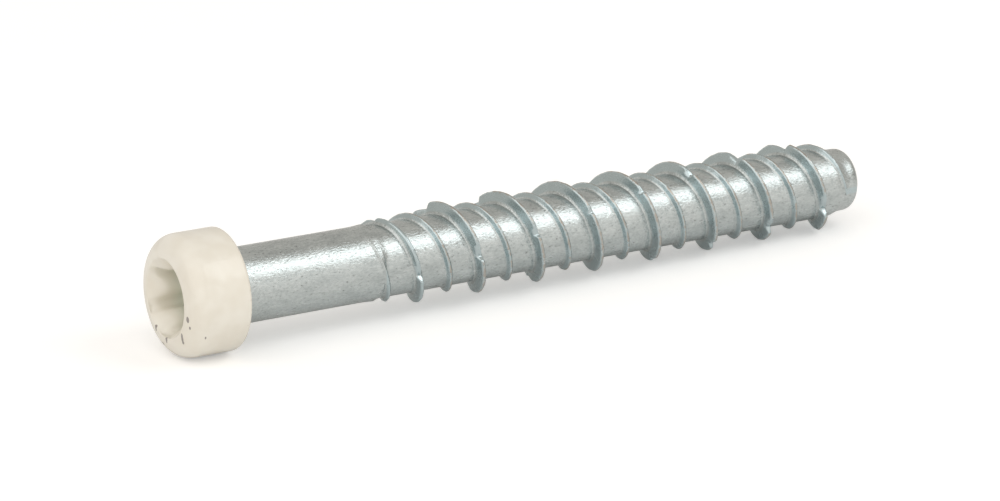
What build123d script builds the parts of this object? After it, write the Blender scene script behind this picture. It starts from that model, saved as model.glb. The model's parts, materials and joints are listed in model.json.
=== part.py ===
"""Concrete screw: cylinder head with a six-lobe recess, plain shank, high-and-low thread, blunt tip.

The screw is modelled upright on its head, axis on Z and tip up, and is then laid down on the floor
as it would rest: on the back rim of its head and on the last full turn of the high thread.
"""

from build123d import *
from math import atan, atan2, cos, degrees, floor, pi, radians, sin
import os

os.makedirs("parts", exist_ok=True)

# Lengths are in mm and angles in degrees. Heights run along the axis from the face of the head.

# Head
overall_length = 61.4
head_diameter = 9.3
head_height = 4.85
head_front_radius = 1.55
head_back_bevel = 0.3

# Shank and core
shank_diameter = 5.77
shank_flare_diameter = 5.9  # the thread rolling swells the end of the shank
shank_flare_length = 1.2
shank_end = 16.9
shank_step_length = 0.35    # from the end of the shank down to the core
core_diameter = 5.6

# Thread: a high and a low ridge, half a turn apart, with one lead
thread_lead = 5.35
root_depth = 0.3            # how deep a ridge is rooted in the core
high_thread_diameter = 7.5
high_crest_width = 0.14
high_root_width = 0.75
high_full_start = 21.5      # from here the ridge has its full diameter
high_run_in = 6.35          # over this length before it the ridge rises out of the core
high_end_gap = 3.24         # from the end of the full ridge to the tip
high_run_out = 1.0          # over this length after it the ridge sinks back into the core
low_thread_diameter = 6.5
low_crest_width = 0.1
low_root_width = 0.65
low_full_start = 19.0
low_run_in = 4.0
low_end_gap = 2.6
low_run_out = 1.0

# Cutting notches across the crest of the high ridge
first_notch_height = 17.85
last_notch_gap = 3.6        # no notch is nearer to the tip than this
notch_turn = 121.4          # turn from one notch to the next
notch_depth = 0.5           # of the first and the last
middle_notch_depth = 0.12   # of those halfway between them
notch_face_length = 0.35    # the cutting face, on the side towards the tip
notch_back_length = 1.1     # the long slope down to it

# Tip
tip_length = 2.4            # from where the core starts to taper
tip_shoulder_diameter = 5.05
tip_shoulder_length = 0.85
tip_edge_diameter = 4.6
tip_edge_length = 0.3
tip_face_diameter = 3.5

# Six-lobe recess
recess_diameter = 5.6       # across two lobes
recess_waist = 3.95         # across two of the ribs between the lobes
recess_lobe_radius = 0.45
recess_depth = 3.2
recess_mouth_diameter = 5.9
recess_point_depth = 0.7
recess_turn = 32.5

# How the screw lies: its turn about its own axis
rolled_by = 29.0

head_radius = head_diameter / 2
shank_radius = shank_diameter / 2
core_radius = core_diameter / 2

# ---- Blank: head, shank, core and tip ----

# The half section stands over +Y, away from the ridges' ends over +X.
with BuildPart() as blank:
    with BuildSketch(Plane.YZ) as half_section:
        with BuildLine():
            Polyline(
                (0, 0),
                (head_radius, 0),
                (head_radius, head_height - head_back_bevel),
                (head_radius - head_back_bevel, head_height),
                (shank_radius, head_height),
                (shank_radius, shank_end - shank_flare_length),
                (shank_flare_diameter / 2, shank_end),
                (core_radius, shank_end + shank_step_length),
                (core_radius, overall_length - tip_length),
                (tip_shoulder_diameter / 2, overall_length - tip_shoulder_length),
                (tip_edge_diameter / 2, overall_length - tip_edge_length),
                (tip_face_diameter / 2, overall_length),
                (0, overall_length),
                close=True,
            )
        make_face()
        front_edge = half_section.vertices().group_by(Axis.X)[-1].sort_by(Axis.Y)[0]
        fillet(front_edge, head_front_radius)
    revolve(axis=Axis.Z)

# ---- Thread ridges ----
# A ridge is one trapezoid carried along three helices that meet end to end: a conical one that
# rises out of the core, a cylindrical one, and a conical one that sinks back.

path_radius = core_radius - root_depth
high_full_end = overall_length - high_end_gap
low_full_end = overall_length - low_end_gap


def helix(height, length, direction=1, cone_angle=0):
    """A right-hand helix from a point over +X, running up (1) or down (-1)."""
    curve = Edge.make_helix(
        thread_lead,
        length,
        path_radius,
        center=(0, 0, height),
        normal=(0, 0, direction),
        angle=cone_angle,
    )
    # A helix that runs down starts over -X.
    return curve if direction > 0 else curve.rotate(Axis.Z, 180)


def thread_ridge(diameter, crest_width, root_width, full_start, full_end, run_in, run_out):
    """One ridge of the thread, at its full diameter from over +X at full_start to full_end."""
    rise = diameter / 2 - core_radius
    foot_width = root_width + (root_width - crest_width) * root_depth / rise
    climb = (0, 2 * pi * path_radius, thread_lead)
    across = Plane(origin=(path_radius, 0, full_start), x_dir=(1, 0, 0), z_dir=climb)
    with BuildSketch(across) as section:
        with BuildLine():
            Polyline(
                (0, -foot_width / 2),
                (root_depth + rise, -crest_width / 2),
                (root_depth + rise, crest_width / 2),
                (0, foot_width / 2),
                close=True,
            )
        make_face()
    # Each end goes on until its crest is half a root depth under the core's surface.
    buried = 1 + root_depth / 2 / rise
    with BuildPart() as end_ridge:
        cone_angle = -degrees(atan(rise / run_out))
        sweep(section.sketch, helix(full_start, run_out * buried, 1, cone_angle), is_frenet=True)
    with BuildPart() as ridge:
        cone_angle = -degrees(atan(rise / run_in))
        sweep(section.sketch, helix(full_start, run_in * buried, -1, cone_angle), is_frenet=True)
        sweep(section.sketch, helix(full_start, full_end - full_start), is_frenet=True)
        with Locations(thread_step(full_end - full_start)):
            add(end_ridge.part)
    return ridge.part


def thread_step(height):
    """The move that carries the thread along itself by the given height."""
    return Location((0, 0, height), (0, 0, 360 * height / thread_lead))


high_ridge = thread_ridge(
    high_thread_diameter,
    high_crest_width,
    high_root_width,
    high_full_start,
    high_full_end,
    high_run_in,
    high_run_out,
)
low_ridge = thread_ridge(
    low_thread_diameter,
    low_crest_width,
    low_root_width,
    low_full_start,
    low_full_end,
    low_run_in,
    low_run_out,
)
low_ridge_turn = 180 + 360 * (low_full_start - high_full_start) / thread_lead

# ---- Cutting notches: one saw-tooth cutter over +X, carried along the high ridge ----

high_radius = high_thread_diameter / 2
with BuildPart() as notch_cutter:
    with BuildSketch(Plane.XY.offset(high_full_start)):
        with BuildLine():
            Polyline(
                (high_radius - notch_depth, 0),
                (high_radius + notch_depth, notch_face_length * 2),
                (high_radius + notch_depth, -notch_back_length * 2),
                close=True,
            )
        make_face()
    extrude(amount=high_root_width, both=True)

notch_step = thread_lead * notch_turn / 360
notched_length = overall_length - last_notch_gap - first_notch_height
notch_count = floor(notched_length / notch_step) + 1


def notch_place(height):
    """Where the cutter goes: along the ridge, in with its sinking start, out for a shallower notch."""
    sink = max(high_full_start - height, 0) * (high_radius - core_radius) / high_run_in
    off_middle = 2 * (height - first_notch_height) / notched_length - 1
    lift = (notch_depth - middle_notch_depth) * (1 - off_middle**2)
    return thread_step(height - high_full_start) * Location((lift - sink, 0, 0))


notch_places = [notch_place(first_notch_height + i * notch_step) for i in range(notch_count)]

# ---- Six-lobe recess: six small lobes joined by six wider ribs, each tangent to the next ----

lobe_centre = recess_diameter / 2 - recess_lobe_radius
waist_radius = recess_waist / 2
rib_radius = (
    recess_lobe_radius**2
    - waist_radius**2
    - lobe_centre**2
    + 2 * lobe_centre * waist_radius * cos(radians(30))
) / (2 * (waist_radius - lobe_centre * cos(radians(30)) - recess_lobe_radius))
rib_centre = waist_radius + rib_radius
joint_share = recess_lobe_radius / (recess_lobe_radius + rib_radius)


def polar(radius, angle):
    """A point of the recess section, by its distance from the axis and its angle."""
    return Vector(radius * cos(radians(angle)), radius * sin(radians(angle)))


with BuildPart() as recess:
    with BuildSketch():
        with BuildLine():
            for lobe_angle in range(0, 360, 60):
                lobe = polar(lobe_centre, lobe_angle)
                rib_before = polar(rib_centre, lobe_angle - 30)
                rib_after = polar(rib_centre, lobe_angle + 30)
                lobe_start = lobe + (rib_before - lobe) * joint_share
                lobe_end = lobe + (rib_after - lobe) * joint_share
                ThreePointArc(lobe_start, polar(recess_diameter / 2, lobe_angle), lobe_end)
                next_lobe = polar(lobe_centre, lobe_angle + 60)
                next_start = next_lobe + (rib_after - next_lobe) * joint_share
                ThreePointArc(lobe_end, polar(waist_radius, lobe_angle + 30), next_start)
        make_face()
    extrude(amount=recess_depth)
    with BuildSketch(Plane.XZ):
        with BuildLine():
            Polyline(
                (0, recess_depth),
                (waist_radius, recess_depth),
                (0, recess_depth + recess_point_depth),
                close=True,
            )
        make_face()
    revolve(axis=Axis.Z)
    with BuildSketch(Plane.XZ):
        with BuildLine():
            Polyline(
                (0, 0),
                (recess_mouth_diameter / 2, 0),
                (0, recess_mouth_diameter / 2),
                close=True,
            )
        make_face()
    revolve(axis=Axis.Z)

# ---- The screw, upright on its head ----

with BuildPart() as notched_ridge:
    add(high_ridge)
    with Locations(*notch_places):
        add(notch_cutter.part, mode=Mode.SUBTRACT)

with BuildPart() as upright_screw:
    add(blank.part)
    add(notched_ridge.part)
    add(low_ridge, rotation=(0, 0, low_ridge_turn))
    add(recess.part, rotation=(0, 0, recess_turn), mode=Mode.SUBTRACT)

# ---- Laid down: head towards -X, resting on the head's back rim and the last high crest ----

rim_height = head_height - head_back_bevel
turns_to_floor = (high_full_end - high_full_start) / thread_lead + rolled_by / 360
crest_height = high_full_start + thread_lead * (floor(turns_to_floor) - rolled_by / 360)
incline = atan2(head_radius - high_radius, crest_height - rim_height)
axis_height = head_radius * cos(incline) + rim_height * sin(incline)
down = Vector(-sin(incline), 0, -cos(incline))
side = Vector(0, 1, 0)
lying = Plane(
    origin=(-overall_length / 2 * cos(incline), 0, axis_height),
    x_dir=down * cos(radians(rolled_by)) + side * sin(radians(rolled_by)),
    z_dir=(cos(incline), 0, -sin(incline)),
)

with BuildPart(lying) as concrete_screw:
    add(upright_screw.part)

concrete_screw.part.label = "concrete_screw"
export_step(concrete_screw.part, "parts/concrete_screw.step")
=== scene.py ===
"""The look of a concrete screw: plated shank and thread, and a painted cylinder head.

The screw is shaped upright, in millimetres, with the face of its head at height 0 and its tip up.
It is then laid down on the line that the record's mounts give.
"""

import json
import logging
import math
from collections.abc import Iterable
from dataclasses import dataclass
from enum import Enum
from typing import Self

import bmesh
import bpy
from mathutils import Matrix, Vector, noise


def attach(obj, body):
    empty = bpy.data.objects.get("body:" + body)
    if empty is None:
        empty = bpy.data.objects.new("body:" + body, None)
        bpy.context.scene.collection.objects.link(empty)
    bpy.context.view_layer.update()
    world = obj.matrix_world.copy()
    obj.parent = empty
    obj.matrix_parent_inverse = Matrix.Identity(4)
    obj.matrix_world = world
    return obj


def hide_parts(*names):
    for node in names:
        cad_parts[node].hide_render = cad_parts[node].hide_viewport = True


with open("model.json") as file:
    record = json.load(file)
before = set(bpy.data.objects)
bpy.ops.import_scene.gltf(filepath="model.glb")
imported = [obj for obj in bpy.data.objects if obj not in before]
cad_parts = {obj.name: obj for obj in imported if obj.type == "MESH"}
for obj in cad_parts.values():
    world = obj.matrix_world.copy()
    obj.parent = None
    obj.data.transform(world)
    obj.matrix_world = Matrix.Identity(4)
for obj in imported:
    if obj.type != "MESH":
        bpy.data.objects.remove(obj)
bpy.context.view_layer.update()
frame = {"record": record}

log = logging.getLogger("concrete_screw")

Colour = tuple[float, float, float]
Pair = tuple[float, float]
Point = tuple[float, float]
Value = float | Colour | Vector | bpy.types.NodeSocket

MM = 0.001
PER_MM = 1000.0
TURN = 2 * math.pi
TOUCH = 0.01  # two heights or radii nearer than this, in millimetres, count as one
MERGE = 0.002  # points nearer than this, in millimetres, are merged
ON_CUT = 1e-5  # points nearer to a cut than this, in millimetres, lie on it
BLACK: Colour = (0.0, 0.0, 0.0)
GREY: Colour = (0.5, 0.5, 0.5)
WHITE: Colour = (1.0, 1.0, 1.0)
CAD_NODE = "concrete_screw"
BODY = "root"


class Slot(Enum):
    """The record's material slots."""

    ZINC = "zinc_steel"
    PAINT = "cream_paint"


class Trace(Enum):
    """The values that the meshes carry for their finishes, each from 0 to 1."""

    CLIMB = "ridge_climb"
    EDGE = "worn_edge"
    DEPTH = "recess_depth"
    BACK_RIM = "back_rim"


# ---------------------------------------------------------------- sums


def ease(share: float) -> float:
    """A share, held between 0 and 1, that starts and ends gently."""
    share = min(max(share, 0.0), 1.0)
    return share * share * (3 - 2 * share)


def smooth_max(a: float, b: float, blend: float) -> float:
    """The larger of two values, with a round join where they are nearer than blend."""
    share = max(blend - abs(a - b), 0.0) / blend
    return max(a, b) + share * share * blend / 4


def smooth_min(a: float, b: float, blend: float) -> float:
    """The smaller of two values, with a round join where they are nearer than blend."""
    return -smooth_max(-a, -b, blend)


def spread(start: float, end: float, steps: int) -> list[float]:
    """Values in even steps from start to end, both included."""
    return [start + (end - start) * i / steps for i in range(steps + 1)]


def between(start: Point, end: Point, shares: Iterable[float]) -> list[Point]:
    """The points at the given shares of the way from start to end."""
    return [tuple(a + (b - a) * share for a, b in zip(start, end)) for share in shares]


def arc(centre: Point, radius: float, angles: Iterable[float]) -> list[Point]:
    """Points of a round stretch of a half section.

    Args:
        centre: Its centre, as a radius and a height.
        radius: How far its points are from the centre.
        angles: The points' angles in degrees: 0 is straight outwards and 90 towards the tip.

    Returns:
        Each point's radius and height.
    """
    turns = [math.radians(angle) for angle in angles]
    return [
        (centre[0] + radius * math.cos(turn), centre[1] + radius * math.sin(turn))
        for turn in turns
    ]


def direction(azimuth: float, elevation: float) -> Vector:
    """A unit vector, by its azimuth from -Y towards +X and its elevation, in degrees."""
    a, e = math.radians(azimuth), math.radians(elevation)
    return Vector((math.sin(a) * math.cos(e), -math.cos(a) * math.cos(e), math.sin(e)))


# ---------------------------------------------------------------- material nodes


@dataclass
class Nodes:
    """A node tree with short ways to add to it."""

    tree: bpy.types.NodeTree

    def feed(self, socket: bpy.types.NodeSocket, value: Value) -> None:
        """Links a socket to another one, or sets its value.

        Args:
            socket: The input socket.
            value: The socket to link it to, or its value.
        """
        if isinstance(value, bpy.types.NodeSocket):
            self.tree.links.new(value, socket)
        elif isinstance(value, tuple) and socket.type == "RGBA":
            socket.default_value = (*value, 1.0)
        else:
            socket.default_value = value

    def add(self, kind: str, inputs: dict[str | int, Value], **settings: str) -> bpy.types.Node:
        """Adds a node.

        Args:
            kind: The node's type without its ShaderNode prefix.
            inputs: Values or sockets for its inputs, by name or number.
            settings: The node's own settings.

        Returns:
            The new node.
        """
        node = self.tree.nodes.new("ShaderNode" + kind)
        for name, setting in settings.items():
            setattr(node, name, setting)
        for name, value in inputs.items():
            self.feed(node.inputs[name], value)
        return node

    def group(self, tree: bpy.types.NodeTree, inputs: dict[str, Value]) -> bpy.types.NodeSocket:
        """Places a node group that has one output.

        Args:
            tree: The group.
            inputs: Values or sockets for its inputs, by name.

        Returns:
            Its output.
        """
        node = self.tree.nodes.new("ShaderNodeGroup")
        node.node_tree = tree
        for name, value in inputs.items():
            self.feed(node.inputs[name], value)
        return node.outputs[0]

    def math(
        self, operation: str, a: Value, b: Value, clamp: bool = True
    ) -> bpy.types.NodeSocket:
        """Works out a value from two others.

        Args:
            operation: The kind of sum.
            a: The first value.
            b: The second value.
            clamp: Whether the result is held between 0 and 1.

        Returns:
            The result.
        """
        node = self.add("Math", {0: a, 1: b}, operation=operation)
        node.use_clamp = clamp
        return node.outputs[0]

    def weigh(self, a: Value, b: Value, shares: Pair) -> bpy.types.NodeSocket:
        """The sum of two values, each times its share, held between 0 and 1."""
        parts = [self.math("MULTIPLY", value, share) for value, share in zip((a, b), shares)]
        return self.math("ADD", *parts)

    def vector(self, operation: str, a: Value, b: Value) -> bpy.types.NodeSocket:
        """The vector worked out from two others."""
        return self.add("VectorMath", {0: a, 1: b}, operation=operation).outputs["Vector"]

    def span(self, value: Value, start: float, end: float) -> bpy.types.NodeSocket:
        """How far a value has come from start to end, smoothly from 0 to 1."""
        inputs = {"Value": value, "From Min": start, "From Max": end}
        return self.add("MapRange", inputs, interpolation_type="SMOOTHSTEP").outputs["Result"]

    def remap(self, value: Value, given: Pair, wanted: Pair) -> bpy.types.NodeSocket:
        """Carries a value from one range to another and holds it there.

        Args:
            value: The value.
            given: The start and the end of its own range.
            wanted: The start and the end of the range it is carried to.

        Returns:
            The value in the new range.
        """
        inputs = {
            "Value": value,
            "From Min": given[0],
            "From Max": given[1],
            "To Min": wanted[0],
            "To Max": wanted[1],
        }
        return self.add("MapRange", inputs).outputs["Result"]

    def mix(self, share: Value, a: Value, b: Value) -> bpy.types.NodeSocket:
        """A colour on the way from one to another."""
        return self.add("MixRGB", {"Fac": share, "Color1": a, "Color2": b}).outputs["Color"]

    def place(self) -> bpy.types.NodeSocket:
        """Where a point of the piece lies, in metres."""
        return self.add("TexCoord", {}).outputs["Object"]

    def trace(self, trace: Trace) -> bpy.types.NodeSocket:
        """A value that the mesh carries."""
        return self.add("Attribute", {}, attribute_name=trace.value).outputs["Fac"]

    def noise(
        self, place: Value, scale: Value, detail: Value, roughness: float
    ) -> bpy.types.NodeSocket:
        """Soft noise, mostly between 0.3 and 0.7."""
        inputs = {"Vector": place, "Scale": scale, "Detail": detail, "Roughness": roughness}
        return self.add("TexNoise", inputs).outputs["Fac"]

    def bump(self, height: Value, strength: float, depth: float) -> bpy.types.NodeSocket:
        """Normals for a relief of a height from 0 to 1 and a depth in millimetres."""
        inputs = {"Height": height, "Strength": strength, "Distance": depth * MM}
        return self.add("Bump", inputs).outputs["Normal"]


@dataclass(frozen=True)
class Grain:
    """A grain: its spots per millimetre, how far they are drawn out along X, and their detail."""

    per_mm: float
    drawn_out: float
    detail: float


@dataclass(frozen=True)
class Wear:
    """Wear along an edge: its breaks per millimetre, and how readily the edge wears."""

    per_mm: float
    amount: float


def new_group(
    name: str, inputs: list[str], output: str
) -> tuple[Nodes, dict[str, bpy.types.NodeSocket], bpy.types.NodeSocket]:
    """Starts a node group of plain values.

    Args:
        name: The group's name.
        inputs: The names of its inputs.
        output: The name of its output.

    Returns:
        Its nodes, the sockets that bring its inputs, and the socket that takes its output.
    """
    tree = bpy.data.node_groups.new(name, "ShaderNodeTree")
    for title in inputs:
        tree.interface.new_socket(title, in_out="INPUT", socket_type="NodeSocketFloat")
    tree.interface.new_socket(output, in_out="OUTPUT", socket_type="NodeSocketFloat")
    source = tree.nodes.new("NodeGroupInput")
    sink = tree.nodes.new("NodeGroupOutput")
    return Nodes(tree), dict(source.outputs.items()), sink.inputs[output]


def new_material(name: str) -> tuple[bpy.types.Material, Nodes, bpy.types.Node]:
    """Starts a material.

    Args:
        name: The material's name.

    Returns:
        The material, its nodes and its shader.
    """
    material = bpy.data.materials.new(name)
    material.use_nodes = True
    nodes = Nodes(material.node_tree)
    return material, nodes, material.node_tree.nodes["Principled BSDF"]


@dataclass(frozen=True)
class SharedEffects:
    """The node groups that both finishes of the screw use."""

    grain_group: bpy.types.NodeTree
    wear_group: bpy.types.NodeTree

    @classmethod
    def build(cls) -> Self:
        """Makes both groups once."""
        return cls(cls.streaked_grain(), cls.broken_edge())

    @staticmethod
    def streaked_grain() -> bpy.types.NodeTree:
        """Makes the group for grain that can be drawn out along the screw.

        Returns:
            The group.
        """
        titles = ["Per mm", "Drawn out", "Detail"]
        nodes, given, tone = new_group("streaked_grain", titles, "Tone")
        along = nodes.math("DIVIDE", PER_MM, given["Drawn out"], clamp=False)
        stretch = nodes.add("CombineXYZ", {"X": along, "Y": PER_MM, "Z": PER_MM})
        place = nodes.vector("MULTIPLY", nodes.place(), stretch.outputs["Vector"])
        grain = nodes.noise(place, given["Per mm"], given["Detail"], roughness=0.6)
        nodes.feed(tone, grain)
        return nodes.tree

    @staticmethod
    def broken_edge() -> bpy.types.NodeTree:
        """Makes the group for wear that follows an edge and breaks up along it.

        Returns:
            The group.
        """
        nodes, given, mask = new_group("broken_edge", ["Edge", "Per mm", "Amount"], "Mask")
        place = nodes.vector("MULTIPLY", nodes.place(), (PER_MM, PER_MM, PER_MM))
        breaks = nodes.noise(place, given["Per mm"], detail=3.0, roughness=0.65)
        reach = nodes.math("MULTIPLY", given["Edge"], given["Amount"], clamp=False)
        total = nodes.math("ADD", reach, breaks, clamp=False)
        nodes.feed(mask, nodes.span(total, start=0.78, end=0.9))
        return nodes.tree

    def grain(self, nodes: Nodes, grain: Grain) -> bpy.types.NodeSocket:
        """Places the grain in a material.

        Args:
            nodes: The material's nodes.
            grain: The grain to place.

        Returns:
            Its tone.
        """
        inputs = {
            "Per mm": grain.per_mm,
            "Drawn out": grain.drawn_out,
            "Detail": grain.detail,
        }
        return nodes.group(self.grain_group, inputs)

    def wear(self, nodes: Nodes, edge: Trace, wear: Wear) -> bpy.types.NodeSocket:
        """Where an edge is worn, by the trace that follows it."""
        inputs = {"Edge": nodes.trace(edge), "Per mm": wear.per_mm, "Amount": wear.amount}
        return nodes.group(self.wear_group, inputs)


# ---------------------------------------------------------------- finishes


@dataclass(frozen=True)
class ZincPlate:
    """Bright, mottled zinc plate, bluer on the ridges' flanks and worn along their crests."""

    effects: SharedEffects
    light: Colour = (0.63, 0.67, 0.665)
    dark: Colour = (0.44, 0.48, 0.48)
    flank: Colour = (0.52, 0.61, 0.63)
    crest: Colour = (0.48, 0.455, 0.415)
    pit: Colour = (0.22, 0.23, 0.22)
    fine: Grain = Grain(per_mm=7.0, drawn_out=1.9, detail=3.0)
    broad: Grain = Grain(per_mm=1.1, drawn_out=2.5, detail=2.0)
    crest_wear: Wear = Wear(per_mm=2.4, amount=0.5)
    flank_tint: float = 0.85
    flank_flattened: float = 0.6
    roughness: Pair = (0.2, 0.3)
    relief: float = 0.06
    relief_strength: float = 1.0

    def flank_mask(self, nodes: Nodes) -> bpy.types.NodeSocket:
        """Where the flanks of the ridges are, without their feet and their crests.

        Args:
            nodes: The material's nodes.

        Returns:
            The mask.
        """
        climb = nodes.trace(Trace.CLIMB)
        off_foot = nodes.span(climb, start=0.12, end=0.3)
        at_crest = nodes.span(climb, start=0.9, end=0.98)
        return nodes.math("MULTIPLY", off_foot, nodes.math("SUBTRACT", 1.0, at_crest))

    def material(self) -> bpy.types.Material:
        """Builds the material.

        Returns:
            The new material.
        """
        material, nodes, shader = new_material("zinc_plate")
        fine = self.effects.grain(nodes, self.fine)
        broad = self.effects.grain(nodes, self.broad)
        flank = self.flank_mask(nodes)
        mottle = nodes.weigh(fine, broad, shares=(0.65, 0.5))
        colour = nodes.mix(nodes.span(mottle, start=0.35, end=0.8), self.dark, self.light)
        colour = nodes.mix(nodes.span(fine, start=0.36, end=0.28), colour, self.pit)
        colour = nodes.mix(nodes.math("MULTIPLY", flank, self.flank_tint), colour, self.flank)
        worn = self.effects.wear(nodes, Trace.EDGE, self.crest_wear)
        colour = nodes.mix(worn, colour, self.crest)
        nodes.feed(shader.inputs["Base Color"], colour)
        nodes.feed(shader.inputs["Metallic"], 1.0)
        rough = nodes.remap(broad, given=(0.3, 0.7), wanted=self.roughness)
        nodes.feed(shader.inputs["Roughness"], rough)
        pitted = nodes.weigh(fine, broad, shares=(0.5, 0.5))
        flattened = nodes.math("MULTIPLY", flank, self.flank_flattened)
        height = nodes.mix(flattened, pitted, GREY)
        bump = nodes.bump(height, self.relief_strength, self.relief)
        nodes.feed(shader.inputs["Normal"], bump)
        return material


@dataclass(frozen=True)
class Spot:
    """A spot on the lying screw: its middle, and how far it reaches along X, Y and Z, in metres."""

    middle: Vector
    reach: Vector


@dataclass(frozen=True)
class CreamPaint:
    """Glossy cream paint, thin in the recess, rubbed along the back rim and chipped in front."""

    effects: SharedEffects
    paint: Colour = (0.87, 0.835, 0.75)
    shaded: Colour = (0.815, 0.77, 0.675)
    thin: Colour = (0.78, 0.79, 0.70)
    chip: Colour = (0.31, 0.28, 0.26)
    rubbed: Colour = (0.50, 0.42, 0.34)
    peel: Grain = Grain(per_mm=2.0, drawn_out=1.0, detail=1.5)
    broad: Grain = Grain(per_mm=0.4, drawn_out=1.0, detail=2.0)
    rim_wear: Wear = Wear(per_mm=3.0, amount=0.4)
    rubbed_share: float = 0.5
    steel_share: float = 0.3
    chip_rag_per_mm: float = 4.0
    roughness: Pair = (0.3, 0.42)
    coat: float = 0.5
    coat_roughness: float = 0.12
    peel_height: float = 0.5
    chip_depth: float = 0.5
    relief: float = 0.06
    relief_strength: float = 0.5

    def chipped(self, nodes: Nodes, chips: list[Spot]) -> Value:
        """Where the paint is chipped off, with ragged outlines.

        Args:
            nodes: The material's nodes.
            chips: The chips.

        Returns:
            The mask of all chips.
        """
        place = nodes.place()
        rag = nodes.noise(place, self.chip_rag_per_mm * PER_MM, detail=2.0, roughness=0.5)
        mask: Value = 0.0
        for chip in chips:
            off = nodes.vector("SUBTRACT", place, chip.middle)
            scaled = nodes.vector("DIVIDE", off, chip.reach)
            away = nodes.add("VectorMath", {0: scaled}, operation="LENGTH").outputs["Value"]
            ragged = nodes.math("ADD", away, rag, clamp=False)
            mask = nodes.math("MAXIMUM", mask, nodes.span(ragged, start=1.5, end=1.25))
        return mask

    def material(self, chips: list[Spot]) -> bpy.types.Material:
        """Builds the material.

        Args:
            chips: The chips in the paint.

        Returns:
            The new material.
        """
        material, nodes, shader = new_material("cream_paint")
        peel = self.effects.grain(nodes, self.peel)
        broad = self.effects.grain(nodes, self.broad)
        colour = nodes.mix(nodes.span(broad, start=0.35, end=0.7), self.shaded, self.paint)
        depth = nodes.weigh(nodes.trace(Trace.DEPTH), broad, shares=(1.0, 0.4))
        bare = nodes.span(depth, start=0.55, end=1.05)
        colour = nodes.mix(bare, colour, self.thin)
        rubbed = self.effects.wear(nodes, Trace.BACK_RIM, self.rim_wear)
        colour = nodes.mix(nodes.math("MULTIPLY", rubbed, self.rubbed_share), colour, self.rubbed)
        chipped = self.chipped(nodes, chips)
        colour = nodes.mix(chipped, colour, self.chip)
        nodes.feed(shader.inputs["Base Color"], colour)
        nodes.feed(shader.inputs["Metallic"], nodes.math("MULTIPLY", bare, self.steel_share))
        rough = nodes.remap(broad, given=(0.0, 1.0), wanted=self.roughness)
        nodes.feed(shader.inputs["Roughness"], rough)
        nodes.feed(shader.inputs["Coat Weight"], self.coat)
        nodes.feed(shader.inputs["Coat Roughness"], self.coat_roughness)
        skin = nodes.math("MULTIPLY", peel, self.peel_height)
        lost = nodes.math("MULTIPLY", chipped, self.chip_depth)
        height = nodes.math("ADD", nodes.math("SUBTRACT", skin, lost), self.chip_depth)
        bump = nodes.bump(height, self.relief_strength, self.relief)
        nodes.feed(shader.inputs["Normal"], bump)
        return material


@dataclass(frozen=True)
class WhiteFloor:
    """A matt floor that shows as white and keeps the screw's shadow.

    Its lift shows in no reflection, so that the undersides of the screw stay dark.
    """

    base: Colour = (0.92, 0.92, 0.92)
    roughness: float = 0.9
    lift: float = 0.27

    def material(self) -> bpy.types.Material:
        """Builds the material.

        Returns:
            The new material.
        """
        material, nodes, shader = new_material("white_floor")
        path = nodes.add("LightPath", {}).outputs
        seen = nodes.math("ADD", path["Is Camera Ray"], path["Is Transmission Ray"])
        nodes.feed(shader.inputs["Base Color"], self.base)
        nodes.feed(shader.inputs["Roughness"], self.roughness)
        nodes.feed(shader.inputs["Emission Color"], nodes.mix(seen, BLACK, WHITE))
        nodes.feed(shader.inputs["Emission Strength"], self.lift)
        return material


# ---------------------------------------------------------------- where the screw lies


@dataclass(frozen=True)
class Line:
    """The screw's axis as it lies, and how far the screw is rolled about it, in degrees."""

    start: Vector
    along: Vector
    rolled_by: float = 29.0

    @classmethod
    def from_mounts(cls, mounts: list[dict]) -> Self:
        """Reads the line from the recess mount, which sits at the face of the head."""
        recess = next(m for m in mounts if m["name"] == "drive_recess")
        return cls(Vector(recess["pos_m"]), -Vector(recess["axis"]).normalized())

    def matrix(self) -> Matrix:
        """Works out how the upright screw in millimetres becomes the lying one in metres.

        Returns:
            The move.
        """
        side = Vector((0, 1, 0))
        down = side.cross(self.along)
        roll = math.radians(self.rolled_by)
        x = down * math.cos(roll) + side * math.sin(roll)
        y = self.along.cross(x)
        turned = Matrix((x, y, self.along)).transposed().to_4x4()
        return Matrix.Translation(self.start) @ turned @ Matrix.Scale(MM, 4)


# ---------------------------------------------------------------- ways to shape a mesh


def spin_section(
    bm: bmesh.types.BMesh, section: list[Point], columns: int, climb: float = 0.0
) -> None:
    """Spins a half section over +X once round the axis.

    Args:
        bm: The mesh that takes it.
        section: The radius and the height of each of its points.
        columns: How many columns of faces go round.
        climb: How far it climbs on its way round. If it climbs, its ends aren't merged.
    """
    verts = [bm.verts.new((radius, 0, height)) for radius, height in section]
    edges = [bm.edges.new(pair) for pair in zip(verts, verts[1:])]
    bmesh.ops.spin(
        bm,
        geom=verts + edges,
        cent=(0, 0, 0),
        axis=(0, 0, 1),
        dvec=(0, 0, climb / columns),
        angle=TURN,
        steps=columns,
        use_merge=climb == 0.0,
        use_duplicate=False,
    )


def cut_off(bm: bmesh.types.BMesh, height: float, upper: bool) -> None:
    """Cuts off all that is above or below a height.

    Args:
        bm: The mesh.
        height: The height of the cut.
        upper: Whether the upper side goes, or else the lower.
    """
    bmesh.ops.bisect_plane(
        bm,
        geom=bm.verts[:] + bm.edges[:] + bm.faces[:],
        dist=ON_CUT,
        plane_co=(0, 0, height),
        plane_no=(0, 0, 1),
        clear_outer=upper,
        clear_inner=not upper,
    )


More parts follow.
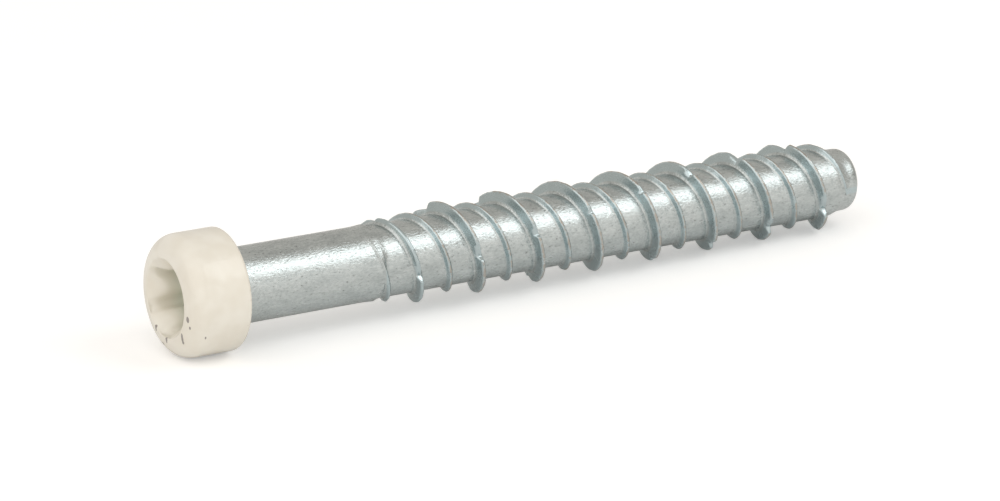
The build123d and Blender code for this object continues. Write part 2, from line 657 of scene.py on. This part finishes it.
def close_rim(bm: bmesh.types.BMesh, height: float, rings: Iterable[Point]) -> None:
    """Carries an open rim on through rings and closes the last one.

    Args:
        bm: The mesh.
        height: The height of the open rim.
        rings: The radius and the height of each ring.
    """
    rim = [e for e in bm.edges if e.is_boundary and abs(e.verts[0].co.z - height) < TOUCH]
    for radius, level in rings:
        made = bmesh.ops.extrude_edge_only(bm, edges=rim)["geom"]
        rim = [g for g in made if isinstance(g, bmesh.types.BMEdge)]
        for vert in (g for g in made if isinstance(g, bmesh.types.BMVert)):
            vert.co.z = level
            vert.co.xy = vert.co.xy.normalized() * radius
    bmesh.ops.contextual_create(bm, geom=rim)


def finish_piece(
    bm: bmesh.types.BMesh, name: str, line: Line, material: bpy.types.Material
) -> bpy.types.Object:
    """Turns an upright shape into a lying piece that stands for the CAD node.

    Args:
        bm: The shape in millimetres, which is freed.
        name: The piece's name.
        line: Where the screw lies.
        material: Its finish.

    Returns:
        The new object, at the origin, riding on the screw's body.
    """
    bmesh.ops.recalc_face_normals(bm, faces=bm.faces[:])
    bmesh.ops.transform(bm, matrix=line.matrix(), verts=bm.verts[:])
    mesh = bpy.data.meshes.new(name)
    bm.to_mesh(mesh)
    bm.free()
    mesh.shade_smooth()
    mesh.materials.append(material)
    piece = bpy.data.objects.new(name, mesh)
    bpy.context.scene.collection.objects.link(piece)
    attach(piece, BODY)
    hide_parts(CAD_NODE)
    return piece


# ---------------------------------------------------------------- shank and thread


@dataclass(frozen=True)
class Ridge:
    """One ridge of the thread, in millimetres.

    Its crest follows a right-hand helix that passes over +X at `level`. Between full_start and
    full_end it has its full diameter, and beyond them it sinks into the core.
    """

    diameter: float
    crest_width: float
    root_width: float
    level: float
    full_start: float
    full_end: float
    run_in: float
    run_out: float
    crown: float = 0.05

    def middle_near(self, turn: float, height: float, lead: float) -> float:
        """The height of the crest's middle that is nearest to a height at a turn."""
        off = (height - self.level) / lead - turn
        return self.level + (round(off) + turn) * lead

    def rise_at(self, middle: float, core: float) -> float:
        """How far the crest stands out of the core where its middle has a height.

        Args:
            middle: The height of the crest's middle.
            core: The core's radius.

        Returns:
            The rise, which is below 0 where the crest is inside the core.
        """
        before = max(self.full_start - middle, 0.0) / self.run_in
        after = max(middle - self.full_end, 0.0) / self.run_out
        return (self.diameter / 2 - core) * (1 - before - after)

    def radius_at(self, turn: float, height: float, lead: float, core: float) -> float:
        """The radius of the ridge's surface.

        Args:
            turn: The turn about the axis, from over +X, in turns.
            height: The height along the axis.
            lead: How far the helix climbs in a turn.
            core: The core's radius.

        Returns:
            The radius there, which may be below the core's.
        """
        middle = self.middle_near(turn, height, lead)
        off = abs(height - middle)
        half_crest = self.crest_width / 2
        slope = (self.diameter / 2 - core) / (self.root_width / 2 - half_crest)
        fall = slope * max(off - half_crest, 0.0)
        fall += self.crown * min(off / half_crest, 1.0) ** 2
        return core + self.rise_at(middle, core) - fall

    def rows(self) -> list[float]:
        """Works out where the mesh has its rows.

        Returns:
            Their distances from the middle of the crest.
        """
        crest, root = self.crest_width / 2, self.root_width / 2
        flank_shares = (0.0, 0.14, 0.55, 0.92, 1.12, 1.4)
        side = [crest + share * (root - crest) for share in flank_shares]
        return sorted([-row for row in side] + [0.0] + side)


@dataclass(frozen=True)
class Notches:
    """The cutting notches across the crest of the high ridge, in millimetres and turns.

    The first and the last are the deepest, and each follows the crest, also where it sinks.
    Towards the tip a notch ends in a steep face.
    """

    first_height: float = 18.2
    last_height: float = 57.55
    turn: float = 115.0 / 360
    depth: float = 0.7
    middle_depth: float = 0.17
    face_slope: float = 1.5
    back_slope: float = 0.36
    deepest_share: float = 0.75

    def floor_at(self, middle: float, lead: float, core: float, rise: float) -> float:
        """The highest radius that the notches leave at a place along the crest.

        Args:
            middle: The height of the crest's middle there.
            lead: How far the helix climbs in a turn.
            core: The core's radius.
            rise: How far the crest stands out of the core there.

        Returns:
            The radius of the notch's floor, or more than the crest's between notches.
        """
        step = lead * self.turn
        reach = self.last_height - self.first_height
        nearest = round((middle - self.first_height) / step)
        nearest = min(max(nearest, 0), math.floor(reach / step))
        place = self.first_height + nearest * step
        crest = core + rise
        travel = (middle - place) / lead * TURN * crest
        off_middle = abs(2 * nearest * step / reach - 1)
        bottom = self.middle_depth + (self.depth - self.middle_depth) * off_middle
        bottom = min(bottom, max(rise, 0.0) * self.deepest_share)
        slope = self.face_slope if travel > 0 else -self.back_slope
        return crest - bottom + slope * travel


@dataclass
class ThreadedShank:
    """The plated shank, the thread and the tip, as one closed shell, in millimetres.

    The shank starts inside the head. The nose is the round end of the tip.
    """

    line: Line
    finish: ZincPlate
    name: str = "threaded_shank"
    columns: int = 288
    shank_rings: int = 12
    gap_rows: int = 4
    thread_lead: float = 5.35
    shank_diameter: float = 5.77
    flare_diameter: float = 5.9
    flare_length: float = 1.2
    shank_start: float = 4.4
    shank_end: float = 16.9
    step_length: float = 0.35
    core_diameter: float = 5.6
    thread_start: float = 13.4
    thread_end: float = 59.95
    taper_start: float = 59.0
    shoulder_height: float = 60.3
    shoulder_diameter: float = 5.06
    nose_diameter: float = 5.03
    nose_radius: float = 0.55
    tip_height: float = 61.4
    ragged: float = 0.05
    low_rag_per_mm: float = 1.2
    high_rag_per_mm: float = 1.68
    low_blend: float = 0.08
    high_blend: float = 0.1
    notch_blend: float = 0.05
    edge_depth: float = 0.12
    high: Ridge = Ridge(
        diameter=7.5,
        crest_width=0.24,
        root_width=0.78,
        level=21.5,
        full_start=21.5,
        full_end=58.16,
        run_in=6.35,
        run_out=1.0,
    )
    low: Ridge = Ridge(
        diameter=6.5,
        crest_width=0.18,
        root_width=0.66,
        level=18.825,  # half a lead below the high ridge
        full_start=19.0,
        full_end=58.8,
        run_in=4.0,
        run_out=1.0,
    )
    notches: Notches = Notches()

    def base_radius(self, height: float) -> float:
        """The radius of shank, core and tip without the ridges.

        Args:
            height: The height along the axis.

        Returns:
            The radius there.
        """
        core = self.core_diameter / 2
        radius = self.shank_diameter / 2
        swell = (height - self.shank_end + self.flare_length) / self.flare_length
        swell = min(max(swell, 0.0), 1.0)
        radius += (self.flare_diameter - self.shank_diameter) / 2 * swell**2
        radius += (core - radius) * ease((height - self.shank_end) / self.step_length)
        taper = (height - self.taper_start) / (self.shoulder_height - self.taper_start)
        return radius + (self.shoulder_diameter / 2 - core) * ease(taper)

    def rag(self, turn: float, height: float, per_mm: float) -> float:
        """How much is missing from a ragged crest.

        Args:
            turn: The turn about the axis, from over +X, in turns.
            height: The height along the axis.
            per_mm: How many breaks the crest has in a millimetre.

        Returns:
            The depth that is missing there.
        """
        core, around = self.core_diameter / 2, turn * TURN
        spot = Vector((math.cos(around) * core, math.sin(around) * core, height))
        return self.ragged * abs(noise.noise(spot * per_mm))

    def surface(self, turn: float, height: float) -> tuple[float, float, float]:
        """The finished surface at a turn and a height.

        Args:
            turn: The turn about the axis, from over +X, in turns.
            height: The height along the axis.

        Returns:
            Its radius, how far up a ridge it is, and how near to the top of a whole crest, the
            last two from 0 to 1.
        """
        core, lead = self.core_diameter / 2, self.thread_lead
        base = self.base_radius(height)
        low = self.low.radius_at(turn, height, lead, core)
        low -= self.rag(turn, height, self.low_rag_per_mm)
        high = self.high.radius_at(turn, height, lead, core)
        high -= self.rag(turn, height, self.high_rag_per_mm)
        middle = self.high.middle_near(turn, height, lead)
        floor = self.notches.floor_at(middle, lead, core, self.high.rise_at(middle, core))
        radius = smooth_max(base, low, self.low_blend)
        radius = smooth_max(radius, smooth_min(high, floor, self.notch_blend), self.high_blend)
        ridge, crest = (self.low, low) if low > high else (self.high, high)
        climb = min(max((radius - base) / (ridge.diameter / 2 - core), 0.0), 1.0)
        edge = max(1 - abs(ridge.diameter / 2 - crest) / self.edge_depth, 0.0)
        return radius, climb, 0.0 if floor < high else edge

    def thread_rows(self) -> list[float]:
        """Works out the heights of the rows over +X, from below thread_start to above thread_end.

        Returns:
            The heights, which repeat with the lead.
        """
        lead = self.thread_lead
        low = self.low.rows()
        high = [lead / 2 + row for row in self.high.rows()]
        gaps = spread(low[-1], high[0], self.gap_rows + 1)[1:-1]
        gaps += spread(high[-1], low[0] + lead, self.gap_rows + 1)[1:-1]
        first = math.floor((self.thread_start - self.low.level) / lead) - 1
        bottom = self.low.level + first * lead
        turns = math.ceil((self.thread_end - bottom) / lead) + 1
        lead_rows = sorted(low + high + gaps)
        return [bottom + turn * lead + row for turn in range(turns) for row in lead_rows]

    def helical_tube(self) -> bmesh.types.BMesh:
        """Spins the rows through one turn of the helix and gives the tube its ridges.

        Returns:
            The tube, open at both ends.
        """
        bm = bmesh.new()
        climb = bm.verts.layers.float.new(Trace.CLIMB.value)
        edge = bm.verts.layers.float.new(Trace.EDGE.value)
        section = [(self.core_diameter / 2, row) for row in self.thread_rows()]
        spin_section(bm, section, self.columns, climb=self.thread_lead)
        bmesh.ops.remove_doubles(bm, verts=bm.verts[:], dist=MERGE)
        cut_off(bm, self.thread_start, upper=False)
        cut_off(bm, self.thread_end, upper=True)
        for vert in bm.verts:
            turn = math.atan2(vert.co.y, vert.co.x) / TURN
            radius, vert[climb], vert[edge] = self.surface(turn, vert.co.z)
            vert.co.xy *= radius / vert.co.xy.length
        return bm

    def tip_rings(self) -> list[Point]:
        """Works out the rings from the shoulder over the nose onto the tip's plain face.

        Returns:
            The radius and the height of each ring.
        """
        nose, bend = self.nose_diameter / 2, self.nose_radius
        shoulder = (self.shoulder_diameter / 2, self.shoulder_height)
        bend_start = (nose, self.tip_height - bend)
        rings = between(shoulder, bend_start, shares=(0.0, 0.35, 0.7, 1.0))
        rings += arc((nose - bend, self.tip_height - bend), bend, angles=(20, 40, 60, 78, 90))
        # Two rings on the plain face keep its shading flat.
        face_radii = (nose - bend - 0.3, nose * 0.45)
        return rings + [(radius, self.tip_height) for radius in face_radii]

    def build(self) -> bpy.types.Object:
        """Makes the whole shell, lays it down and dresses it.

        Returns:
            The finished piece.
        """
        bm = self.helical_tube()
        levels = spread(self.thread_start, self.shank_start, self.shank_rings)[1:]
        close_rim(bm, self.thread_start, [(self.shank_diameter / 2, level) for level in levels])
        close_rim(bm, self.thread_end, self.tip_rings())
        return finish_piece(bm, self.name, self.line, self.finish.material())


# ---------------------------------------------------------------- head


@dataclass(frozen=True)
class Chip:
    """An upright chip in the paint, by its turn in degrees and its radius on the head's front.

    Its width and height are half its size. Radius, width and height are in millimetres.
    """

    turn: float
    radius: float
    width: float
    height: float


@dataclass
class PaintedHead:
    """The cylinder head with its six-lobe recess, as one closed shell, in millimetres.

    Paint fills the corner behind the recess's mouth, most of all on the side that lies lowest.
    """

    line: Line
    finish: CreamPaint
    name: str = "painted_head"
    columns: int = 240
    diameter: float = 9.3
    height: float = 4.85
    front_radius: float = 1.55
    back_bevel: float = 0.3
    bore_diameter: float = 5.6
    recess_diameter: float = 5.6
    recess_waist: float = 3.95
    lobe_radius: float = 0.45
    recess_depth: float = 3.2
    point_depth: float = 0.7
    recess_turn: float = 32.5
    mouth_diameter: float = 6.04
    mouth_lip: float = 0.04
    paint_fill: float = 0.4
    pooled_share: float = 2.5
    rim_reach: float = 0.45
    chips: tuple[Chip, ...] = (
        Chip(turn=251.0, radius=3.5, width=0.15, height=0.26),
        Chip(turn=284.0, radius=3.55, width=0.15, height=0.6),
        Chip(turn=0.0, radius=3.1, width=0.15, height=0.32),
        Chip(turn=328.0, radius=3.1, width=0.15, height=0.4),
        Chip(turn=340.0, radius=3.75, width=0.16, height=0.22),
        Chip(turn=260.0, radius=3.8, width=0.08, height=0.14),
        Chip(turn=267.0, radius=4.6, width=0.07, height=0.34),
    )

    def lobe_outline(self, angle: float) -> float:
        """The radius of the six-lobe outline: small lobes joined by wider ribs.

        Args:
            angle: The angle from the middle of a lobe, in radians.

        Returns:
            The radius there.
        """
        sixth = TURN / 6
        off = abs(angle - round(angle / sixth) * sixth)
        lobe_centre = self.recess_diameter / 2 - self.lobe_radius
        waist = self.recess_waist / 2
        lean = math.cos(sixth / 2)
        rib_radius = (
            self.lobe_radius**2 - waist**2 - lobe_centre**2 + 2 * lobe_centre * waist * lean
        ) / (2 * (waist - lobe_centre * lean - self.lobe_radius))
        lobe = Vector((lobe_centre, 0))
        rib = Vector((lean, math.sin(sixth / 2))) * (waist + rib_radius)
        joint = lobe.lerp(rib, self.lobe_radius / (self.lobe_radius + rib_radius))
        if off < math.atan2(joint.y, joint.x):
            middle, radius, side = lobe, self.lobe_radius, 1
        else:
            middle, radius, side = rib, rib_radius, -1
        reach = Vector((math.cos(off), math.sin(off))).dot(middle)
        return reach + side * math.sqrt(max(radius**2 - middle.length_squared + reach**2, 0.0))

    def section(self) -> list[Point]:
        """Works out the half section, with the recess still a round hole.

        Returns:
            The radius and the height of each point, from the bore at the back round the outside
            and down to the recess's floor.
        """
        radius, back, mouth = self.diameter / 2, self.height, self.mouth_diameter / 2
        bevel, fillet = self.back_bevel, self.front_radius
        bevel_end, fillet_start = (radius, back - bevel), (radius, fillet)
        # The second point keeps the shading of the plain back flat.
        points = [(self.bore_diameter / 2, back), (radius - 1.0, back)]
        points += arc((radius - bevel, back - bevel), bevel, spread(90.0, 0.0, 4))
        points += between(bevel_end, fillet_start, shares=(0.35, 0.7))
        points += arc((radius - fillet, fillet), fillet, spread(0.0, -90.0, 12))
        points += [(mouth + self.mouth_lip, 0.0), (mouth, self.mouth_lip / 2)]
        paint_rows = spread(0.08, 0.99, 13)
        wall_rows = spread(1.2, 2.95, 7)
        return points + [(mouth, row) for row in (*paint_rows, *wall_rows, self.recess_depth)]

    def is_inside(self, place: Vector) -> bool:
        """Whether a point of the shell lies in the recess."""
        within_mouth = place.xy.length < self.mouth_diameter / 2 + TOUCH
        return within_mouth and place.z < self.height - TOUCH

    def cut_lobes(self, bm: bmesh.types.BMesh) -> None:
        """Draws the wall of the recess in to the six-lobe outline, and fills its mouth's corner.

        Args:
            bm: The head with a round hole.
        """
        lying = self.line.matrix().to_3x3()
        mouth = self.mouth_diameter / 2
        for vert in (v for v in bm.verts if self.is_inside(v.co)):
            radius = vert.co.xy.length
            angle = math.atan2(vert.co.y, vert.co.x) - math.radians(self.recess_turn)
            pooled = max(-(lying @ vert.co.xy.to_3d()).z / MM / radius, 0.0)
            fill = self.paint_fill * (1 + self.pooled_share * pooled)
            wall = smooth_max(self.lobe_outline(angle), mouth - vert.co.z, fill)
            vert.co.xy *= min(wall, mouth) / radius

    def mark_traces(self, bm: bmesh.types.BMesh) -> None:
        """Marks how deep each point is in the recess and how near to the back rim.

        Args:
            bm: The finished shape.
        """
        depth = bm.verts.layers.float.new(Trace.DEPTH.value)
        back_rim = bm.verts.layers.float.new(Trace.BACK_RIM.value)
        for vert in bm.verts:
            inside = self.is_inside(vert.co)
            vert[depth] = min(vert.co.z / self.recess_depth, 1.0) if inside else 0.0
            off_side = abs(vert.co.xy.length - self.diameter / 2)
            off_back = abs(vert.co.z - self.height)
            vert[back_rim] = max(1 - (off_side + off_back) / self.rim_reach, 0.0)

    def place(self, chip: Chip) -> Spot:
        """Finds a chip on the head's front as it lies.

        Args:
            chip: The chip.

        Returns:
            Where it is and how far it reaches.
        """
        onto_edge = max(chip.radius - self.diameter / 2 + self.front_radius, 0.0)
        height = self.front_radius - math.sqrt(self.front_radius**2 - onto_edge**2)
        turn = math.radians(chip.turn)
        upright = Vector((chip.radius * math.cos(turn), chip.radius * math.sin(turn), height))
        reach = Vector((chip.width, chip.width, chip.height)) * MM
        return Spot(self.line.matrix() @ upright, reach)

    def build(self) -> bpy.types.Object:
        """Spins the section, cuts the lobes, closes the shell, lays it down and dresses it.

        Returns:
            The finished piece.
        """
        bm = bmesh.new()
        spin_section(bm, self.section(), self.columns)
        self.cut_lobes(bm)
        waist, depth = self.recess_waist / 2, self.recess_depth
        floor_shares = (0.98, 0.6, 0.25)
        floor = [(waist * share, depth + self.point_depth * (1 - share)) for share in floor_shares]
        close_rim(bm, depth, floor)
        close_rim(bm, self.height, rings=())
        self.mark_traces(bm)
        material = self.finish.material([self.place(chip) for chip in self.chips])
        return finish_piece(bm, self.name, self.line, material)


# ---------------------------------------------------------------- studio


@dataclass(frozen=True)
class Softbox:
    """A square soft light that looks at the origin, with its size and distance in metres."""

    name: str
    azimuth: float
    elevation: float
    distance: float
    size: float
    power: float
    colour: Colour = WHITE

    def build(self) -> None:
        """Sets up the light."""
        data = bpy.data.lights.new(self.name, "AREA")
        data.size = self.size
        data.energy = self.power
        data.color = self.colour
        lamp = bpy.data.objects.new(self.name, data)
        outward = direction(self.azimuth, self.elevation)
        lamp.location = outward * self.distance
        lamp.rotation_mode = "QUATERNION"
        lamp.rotation_quaternion = outward.to_track_quat("Z", "Y")
        bpy.context.scene.collection.objects.link(lamp)


@dataclass(frozen=True)
class Studio:
    """Floor, lights, world and camera, with the camera's place in millimetres."""

    floor_finish: WhiteFloor = WhiteFloor()
    floor_reach: float = 1.5
    lights: tuple[Softbox, ...] = (
        Softbox(
            name="key",
            azimuth=46.0,
            elevation=46.0,
            distance=0.5,
            size=0.27,
            power=0.43,
            colour=(0.95, 0.985, 1.0),
        ),
        Softbox(name="left", azimuth=-55.0, elevation=38.0, distance=0.55, size=0.8, power=1.4),
        Softbox(name="low", azimuth=24.0, elevation=8.0, distance=0.6, size=0.45, power=0.28),
        Softbox(name="back", azimuth=180.0, elevation=24.0, distance=0.6, size=0.45, power=0.14),
    )
    world_colour: Colour = (0.60, 0.57, 0.53)
    camera_place: tuple[float, float, float] = (-155.272, -247.583, 102.415)
    camera_azimuth: float = -31.788
    camera_elevation: float = 18.797
    sensor_width: float = 36.0
    lens: float = 144.0

    def build_floor(self) -> None:
        """Lays the floor under the screw."""
        bm = bmesh.new()
        bmesh.ops.create_grid(bm, x_segments=1, y_segments=1, size=self.floor_reach)
        mesh = bpy.data.meshes.new("floor")
        bm.to_mesh(mesh)
        bm.free()
        mesh.materials.append(self.floor_finish.material())
        floor = bpy.data.objects.new("floor", mesh)
        bpy.context.scene.collection.objects.link(floor)

    def build_camera(self) -> None:
        """Sets up the camera, level across."""
        data = bpy.data.cameras.new("camera")
        data.sensor_width = self.sensor_width
        data.lens = self.lens
        data.clip_start = 0.01
        data.clip_end = 10.0
        camera = bpy.data.objects.new("camera", data)
        camera.location = Vector(self.camera_place) * MM
        camera.rotation_mode = "QUATERNION"
        forward = -direction(self.camera_azimuth, self.camera_elevation)
        camera.rotation_quaternion = forward.to_track_quat("-Z", "Y")
        bpy.context.scene.collection.objects.link(camera)
        bpy.context.scene.camera = camera

    def build_world(self) -> None:
        """Sets up the even light from all sides."""
        world = bpy.data.worlds.new("studio")
        world.use_nodes = True
        background = world.node_tree.nodes["Background"]
        Nodes(world.node_tree).feed(background.inputs["Color"], self.world_colour)
        bpy.context.scene.world = world

    def build(self) -> None:
        """Sets up the whole studio."""
        self.build_floor()
        for light in self.lights:
            light.build()
        self.build_camera()
        self.build_world()
        bpy.context.scene.view_settings.view_transform = "Standard"


def main() -> None:
    """Builds the pieces and the studio in order."""
    logging.basicConfig(level=logging.INFO, format="%(name)s: %(message)s")
    line = Line.from_mounts(frame["record"]["mounts"])
    effects = SharedEffects.build()
    for part in (
        ThreadedShank(line, ZincPlate(effects)),
        PaintedHead(line, CreamPaint(effects)),
    ):
        piece = part.build()
        log.info("%s has %d faces", piece.name, len(piece.data.polygons))
    Studio().build()


if __name__ == "__main__":
    main()
